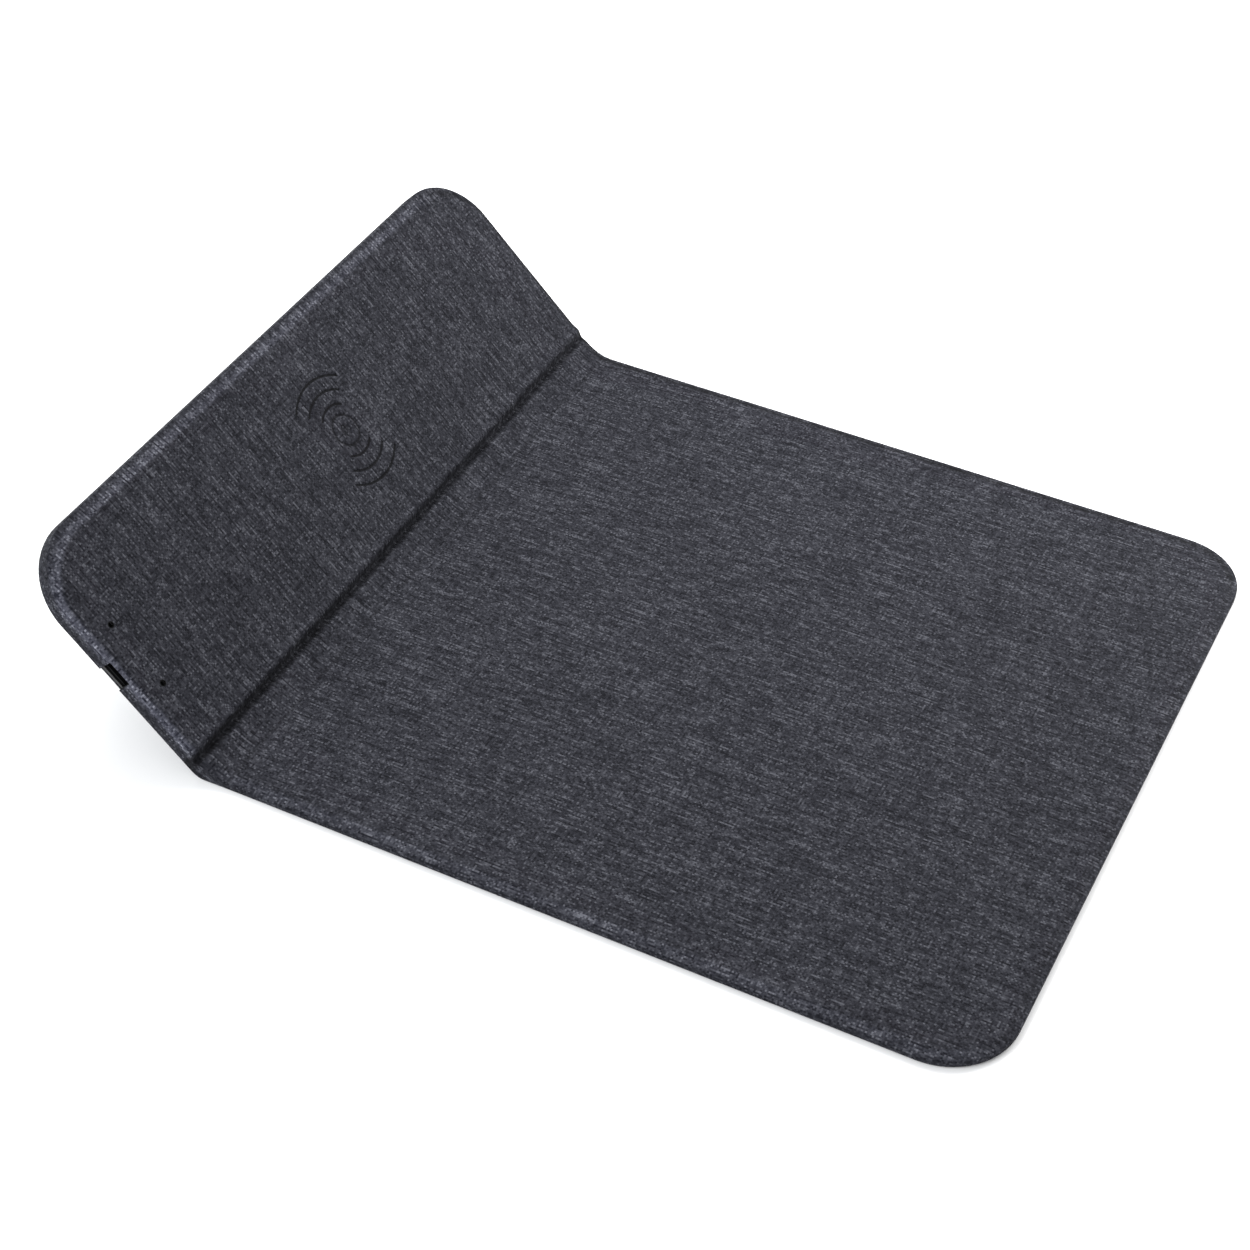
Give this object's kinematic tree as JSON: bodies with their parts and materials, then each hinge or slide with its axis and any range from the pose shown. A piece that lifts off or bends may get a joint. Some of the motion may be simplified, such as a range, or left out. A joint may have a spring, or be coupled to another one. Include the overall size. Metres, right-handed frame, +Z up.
{
  "type": "wireless charging mouse mat",
  "caption": "Cloth-covered mouse mat with a fold-up wireless charging panel along one end and a micro power port in the panel's side.",
  "frame": {"origin": "middle of the mat's underside, which lies on the table", "axes": "+Z up; +X from the fold to the mat's free end; +Y along the fold, away from the side with the port"},
  "size_m": [0.2525, 0.2006, 0.0511],
  "materials": {
    "heather_cloth": "woven, charcoal with lighter slubs",
    "foam": "fine closed cells",
    "fibre_board": "pressed fibre",
    "rubber_backing": "fine grain, matt",
    "black_plastic": "moulded, fine texture",
    "copper": "enamelled copper strand",
    "adhesive_film": "translucent film",
    "ferrite": "pressed ferrite",
    "sensor_glaze": "dipped bead",
    "solder_mask": "green solder mask",
    "chip_black": "moulded epoxy",
    "ceramic": "fired ceramic",
    "port_steel": "plated sheet",
    "contact_gold": "gold plated",
    "led_lens": "cast resin",
    "clear_guide": "clear acrylic"
  },
  "bodies": {
    "mat": {"mat_cover": "heather_cloth", "mat_foam": "foam", "mat_board": "fibre_board", "mat_base": "rubber_backing", "fold_cover": "heather_cloth", "fold_foam": "foam", "fold_backing": "rubber_backing"},
    "panel": {"panel_cover": "heather_cloth", "panel_foam": "foam", "front_plate": "black_plastic", "rear_tray": "black_plastic", "panel_backing": "rubber_backing", "coil_winding": "copper", "coil_leads": "copper", "coil_adhesive": "adhesive_film", "ferrite_shield": "ferrite", "thermistor": "sensor_glaze", "circuit_board": "solder_mask", "control_chip": "chip_black", "bridge_transistors": "chip_black", "resonance_capacitors": "ceramic", "power_inductor": "ferrite", "filter_capacitors": "ceramic", "resistors": "chip_black", "usb_shell": "port_steel", "usb_tongue": "black_plastic", "usb_contacts": "contact_gold", "status_leds": "led_lens", "light_guides": "clear_guide"}
  },
  "joints": [
    {"name": "panel_fold", "type": "hinge", "parent": "mat", "child": "panel", "pos_m": [-0.1014, 0, 0.0047], "axis": [0, 1, 0], "range_deg": [-44.6, 135.4], "deforming": ["fold_cover", "fold_foam", "fold_backing"]}
  ]
}
